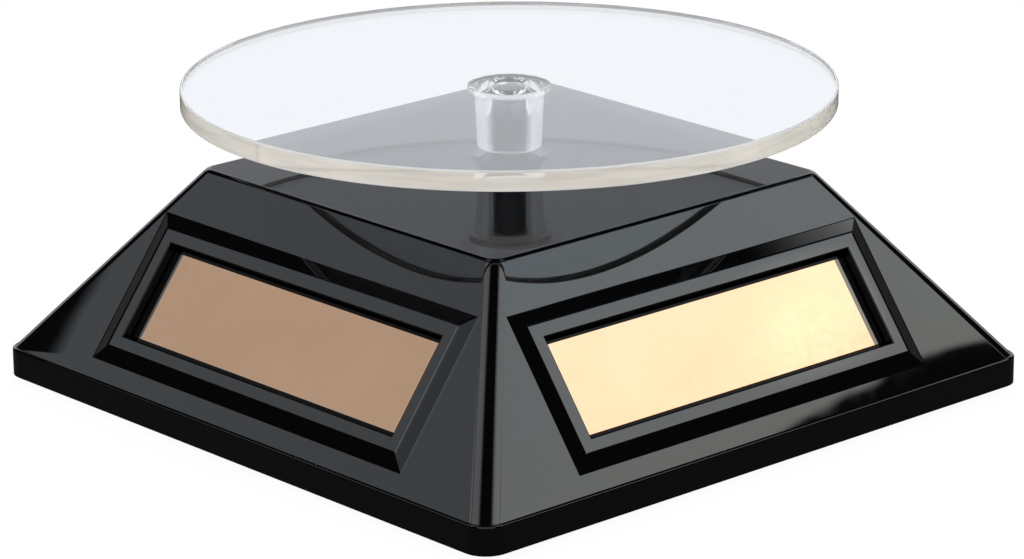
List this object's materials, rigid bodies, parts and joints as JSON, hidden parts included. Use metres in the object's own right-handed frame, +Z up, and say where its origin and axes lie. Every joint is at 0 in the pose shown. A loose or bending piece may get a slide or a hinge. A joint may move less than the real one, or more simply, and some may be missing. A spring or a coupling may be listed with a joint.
{
  "type": "rotating display stand",
  "caption": "Solar rotating display stand: a black square pyramid base with solar windows in its sloped faces and a clear round disc turned by a geared motor.",
  "frame": {"origin": "on the table under the middle of the base, at the level of the rubber feet", "axes": "+Z up along the turning axis, -Y out of the front face, +X out of the right face"},
  "size_m": [0.106, 0.106, 0.046],
  "materials": {
    "black_gloss_plastic": "polished black moulding",
    "black_satin_plastic": "fine satin black moulding",
    "clear_acrylic": "clear polished acrylic",
    "solar_cell": "thin-film cell under glass, bronze to cream sheen",
    "foot_rubber": "soft matte rubber",
    "white_gear_plastic": "natural acetal",
    "grey_gearbox_plastic": "plain moulding",
    "steel": "bright steel",
    "brass": "machined",
    "tinned_contact": "tinned sheet"
  },
  "bodies": {
    "base": {"base_shell": "black_gloss_plastic", "solar_panel_front": "solar_cell", "solar_panel_right": "solar_cell", "solar_panel_back": "solar_cell", "solar_panel_left": "solar_cell", "bottom_cover": "black_satin_plastic", "rubber_foot_front_left": "foot_rubber", "rubber_foot_front_right": "foot_rubber", "rubber_foot_back_right": "foot_rubber", "rubber_foot_back_left": "foot_rubber", "cover_screws": "steel", "spindle_bush": "black_gloss_plastic", "gearbox_lower_plate": "grey_gearbox_plastic", "gearbox_upper_plate": "grey_gearbox_plastic", "gearbox_screws": "steel", "first_gear_axle": "steel", "second_gear_axle": "steel", "motor_can": "steel", "motor_end_cap": "grey_gearbox_plastic", "motor_terminals": "tinned_contact", "motor_screws": "steel", "battery_contact_positive": "tinned_contact", "battery_contact_negative": "tinned_contact", "switch_body": "steel", "switch_pins": "tinned_contact"},
    "turntable": {"turntable_disc": "clear_acrylic", "turntable_hub": "clear_acrylic", "drive_spindle": "black_gloss_plastic", "output_gear": "white_gear_plastic"},
    "first_gear": {"first_reduction_gear": "white_gear_plastic"},
    "second_gear": {"second_reduction_gear": "white_gear_plastic"},
    "motor_rotor": {"motor_shaft": "steel", "motor_pinion": "brass"},
    "door": {"battery_door": "black_satin_plastic"},
    "knob": {"switch_knob": "black_satin_plastic"}
  },
  "joints": [
    {"name": "turntable_spin", "type": "hinge", "parent": "base", "child": "turntable", "pos_m": [0, 0, 0], "axis": [0, 0, 1], "continuous": true},
    {"name": "first_gear_spin", "type": "hinge", "parent": "base", "child": "first_gear", "pos_m": [-0.01082, -0.00625, 0], "axis": [0, 0, 1], "continuous": true},
    {"name": "second_gear_spin", "type": "hinge", "parent": "base", "child": "second_gear", "pos_m": [-0.00279, -0.01583, 0], "axis": [0, 0, 1], "continuous": true},
    {"name": "motor_spin", "type": "hinge", "parent": "base", "child": "motor_rotor", "pos_m": [0.00928, -0.01259, 0], "axis": [0, 0, 1], "continuous": true},
    {"name": "door_hinge", "type": "hinge", "parent": "base", "child": "door", "pos_m": [-0.02905, 0.02521, 0.0022], "axis": [0, 1, 0], "range_deg": [0, 90]},
    {"name": "switch_slide", "type": "slide", "parent": "base", "child": "knob", "axis": [1, 0, 0], "range_m": [0, 0.003]}
  ],
  "couplings": [
    {"joint": "first_gear_spin", "follows": "turntable_spin", "ratio": -4},
    {"joint": "second_gear_spin", "follows": "turntable_spin", "ratio": 16},
    {"joint": "motor_spin", "follows": "turntable_spin", "ratio": -64}
  ]
}
